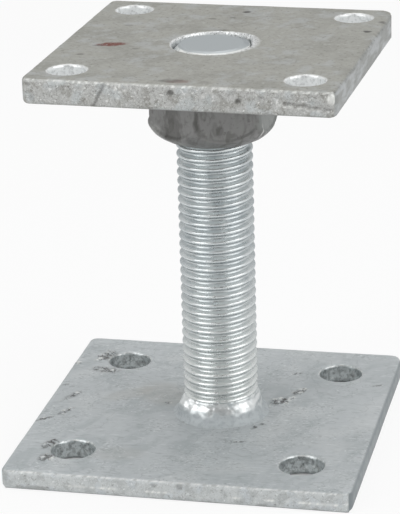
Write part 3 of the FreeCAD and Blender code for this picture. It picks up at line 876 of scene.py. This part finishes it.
def level_square(name, half, depth, material):
    """Level square a little below the object's foot; its sizes are in metres."""
    corners = [(-half, -half, 0), (half, -half, 0), (half, half, 0), (-half, half, 0)]
    mesh = bpy.data.meshes.new(name)
    mesh.from_pydata(corners, [], [(0, 1, 2, 3)])
    mesh.materials.append(material)
    square = bpy.data.objects.new(name, mesh)
    square.location.z = -depth
    bpy.context.scene.collection.objects.link(square)
    return square


def white_surface():
    """White to the camera, in metal and through openings, with the object's shadow on it."""
    material = bpy.data.materials.new("white_floor")
    material.use_nodes = True
    tree = material.node_tree
    tree.nodes.clear()
    output = tree.nodes.new("ShaderNodeOutputMaterial")
    matt = tree.nodes.new("ShaderNodeBsdfDiffuse")
    matt.inputs["Color"].default_value = (0.7, 0.7, 0.7, 1)
    glow = tree.nodes.new("ShaderNodeEmission")
    path = tree.nodes.new("ShaderNodeLightPath")
    seen = path.outputs["Is Camera Ray"]
    for kind in ("Is Glossy Ray", "Is Transmission Ray"):
        either = tree.nodes.new("ShaderNodeMath")
        either.operation = "MAXIMUM"
        tree.links.new(seen, either.inputs[0])
        tree.links.new(path.outputs[kind], either.inputs[1])
        seen = either.outputs["Value"]
    share = tree.nodes.new("ShaderNodeMath")
    share.operation = "MULTIPLY"
    share.inputs[1].default_value = FLOOR_GLOW
    tree.links.new(seen, share.inputs[0])
    mix = tree.nodes.new("ShaderNodeMixShader")
    tree.links.new(share.outputs["Value"], mix.inputs["Fac"])
    tree.links.new(matt.outputs["BSDF"], mix.inputs[1])
    tree.links.new(glow.outputs["Emission"], mix.inputs[2])
    tree.links.new(mix.outputs["Shader"], output.inputs["Surface"])
    return material


def floor():
    plane = level_square("floor", FLOOR_HALF, FLOOR_DEPTH, white_surface())
    # Plain floor below the plate, so that it stays in shadow where the anchor holes show it
    plain = bpy.data.materials.new("plain_floor")
    plain.use_nodes = True
    shader = plain.node_tree.nodes["Principled BSDF"]
    shader.inputs["Base Color"].default_value = (0.8, 0.8, 0.8, 1)
    shader.inputs["Roughness"].default_value = 1.0
    below = level_square("floor_below", (base_half - 1) * MM, SHADED_DEPTH, plain)


def studio_world():
    """Pale surroundings behind and above the object, and a darker room on the camera's side."""
    world = bpy.data.worlds.new("studio")
    world.use_nodes = True
    tree = world.node_tree
    bpy.context.scene.world = world
    background = tree.nodes["Background"]
    direction = tree.nodes.new("ShaderNodeTexCoord").outputs["Generated"]
    parts = tree.nodes.new("ShaderNodeSeparateXYZ")
    tree.links.new(direction, parts.inputs["Vector"])
    depth = tree.nodes.new("ShaderNodeMapRange")
    depth.interpolation_type = "SMOOTHSTEP"
    tree.links.new(parts.outputs["Y"], depth.inputs["Value"])
    for name, value in (("From Min", -0.85), ("From Max", 0.5), ("To Min", 0.14), ("To Max", 0.74)):
        depth.inputs[name].default_value = value
    background.inputs["Color"].default_value = (1, 1, 1, 1)
    tree.links.new(depth.outputs["Result"], background.inputs["Strength"])


def softbox(name, azimuth, elevation, distance, width, height, power):
    """Area lamp that faces the object from a direction; azimuth 0 is the front, positive to the right."""
    lamp = bpy.data.lights.new(name, "AREA")
    lamp.shape = "RECTANGLE"
    lamp.size = width
    lamp.size_y = height
    lamp.energy = power
    holder = bpy.data.objects.new(name, lamp)
    turn, lift = math.radians(azimuth), math.radians(elevation)
    level = distance * math.cos(lift)
    middle = head_high[2] * MM / 2
    holder.location = (level * math.sin(turn), -level * math.cos(turn), middle + distance * math.sin(lift))
    holder.rotation_euler = (math.pi / 2 - lift, 0, turn)
    bpy.context.scene.collection.objects.link(holder)


def camera():
    """Camera at the photograph's viewing angle, without shift."""
    position = (0.16009, -0.69126, 0.31982)
    yaw, tilt, roll = (math.radians(angle) for angle in (-13.217, -20.156, -1.701))
    focal_pixels, photo_height = 2380.4, 514
    ahead = np.array([math.sin(yaw) * math.cos(tilt), math.cos(yaw) * math.cos(tilt), math.sin(tilt)])
    right = np.array([math.cos(yaw), -math.sin(yaw), 0])
    up = np.cross(right, ahead)
    right, up = (math.cos(roll) * right + math.sin(roll) * up, math.cos(roll) * up - math.sin(roll) * right)
    lens = bpy.data.cameras.new("camera")
    lens.lens = focal_pixels * lens.sensor_width / photo_height
    holder = bpy.data.objects.new("camera", lens)
    turned = Matrix((right, up, -ahead)).transposed().to_4x4()
    holder.matrix_world = Matrix.Translation(position) @ turned
    bpy.context.scene.collection.objects.link(holder)
    bpy.context.scene.camera = holder


base_plate()
head_plate()
hex_nut()
threaded_rod()
foot_weld()
floor()
studio_world()
for lamp_row in LAMPS:
    softbox(*lamp_row)
camera()
bpy.context.scene.view_settings.view_transform = "Standard"
